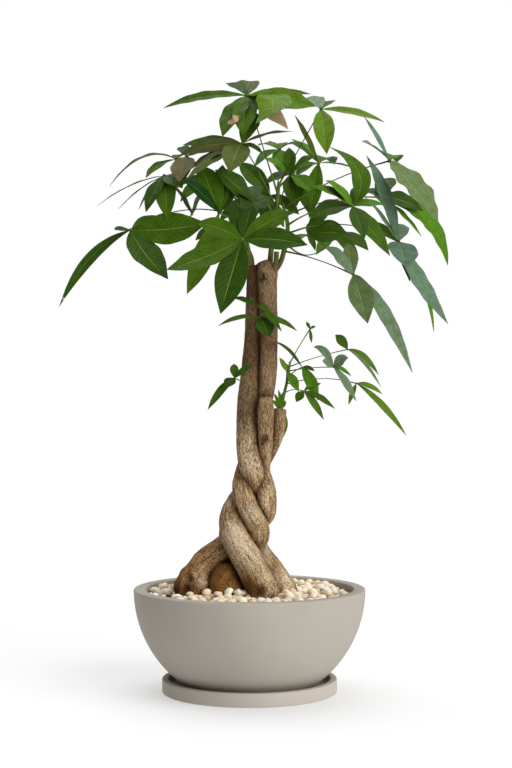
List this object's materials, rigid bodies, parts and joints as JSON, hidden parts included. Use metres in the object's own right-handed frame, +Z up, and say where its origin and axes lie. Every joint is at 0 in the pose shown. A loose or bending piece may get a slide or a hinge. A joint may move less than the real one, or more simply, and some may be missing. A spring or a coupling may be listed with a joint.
{
  "type": "potted money tree",
  "caption": "Potted money tree with braided woody stems, a wide crown of drooping palmate leaves and low side sprouts, in a round bowl of pale pebbles on a saucer.",
  "frame": {"origin": "centre of the saucer's flat underside, where the pot stands", "axes": "+Z up, +X to the right in the picture, +Y away from its camera"},
  "size_m": [0.6113, 0.4183, 0.9604],
  "materials": {
    "saucer": "matte warm grey",
    "bowl": "matte warm grey",
    "soil": "loose dark potting soil",
    "pebble": "smooth pale cream pebbles",
    "bark": "rough fibrous bark",
    "shoot": "green woody shoot",
    "leaf": "smooth green leaf"
  },
  "bodies": {
    "root": {"saucer": "saucer", "bowl": "bowl", "soil": "soil", "pebbles": "pebble", "stem_left": "bark", "stem_middle": "bark", "stem_front": "bark", "stem_right": "bark", "stem_low": "bark", "shoot_left": "shoot", "shoot_middle": "shoot", "shoot_right": "shoot", "shoot_stub": "shoot", "shoot_sprig": "shoot", "leaf_fan_front": "leaf", "leaf_fan_behind": "leaf", "leaf_left_low": "leaf", "leaf_left_mid": "leaf", "leaf_left_high": "leaf", "leaf_left_near": "leaf", "leaf_front_upper": "leaf", "leaf_top": "leaf", "leaf_top_front": "leaf", "leaf_top_right": "leaf", "leaf_back_right": "leaf", "leaf_mid_back": "leaf", "leaf_mid_front": "leaf", "leaf_mid_low": "leaf", "leaf_back_left": "leaf", "leaf_back_middle": "leaf", "leaf_back_low": "leaf", "leaf_back_side": "leaf", "leaf_right_high": "leaf", "leaf_right_front": "leaf", "leaf_right_out": "leaf", "leaf_right_back": "leaf", "leaf_right_low": "leaf", "leaf_right_inner": "leaf", "leaf_sprout_upper": "leaf", "leaf_sprout_lower": "leaf", "leaf_sprout_left": "leaf", "leaf_sprig_top": "leaf", "leaf_sprig_left": "leaf", "leaf_sprig_far": "leaf", "leaf_sprig_mid": "leaf", "leaf_sprig_out": "leaf", "leaf_sprig_low": "leaf", "leaf_sprig_near": "leaf"}
  },
  "joints": []
}
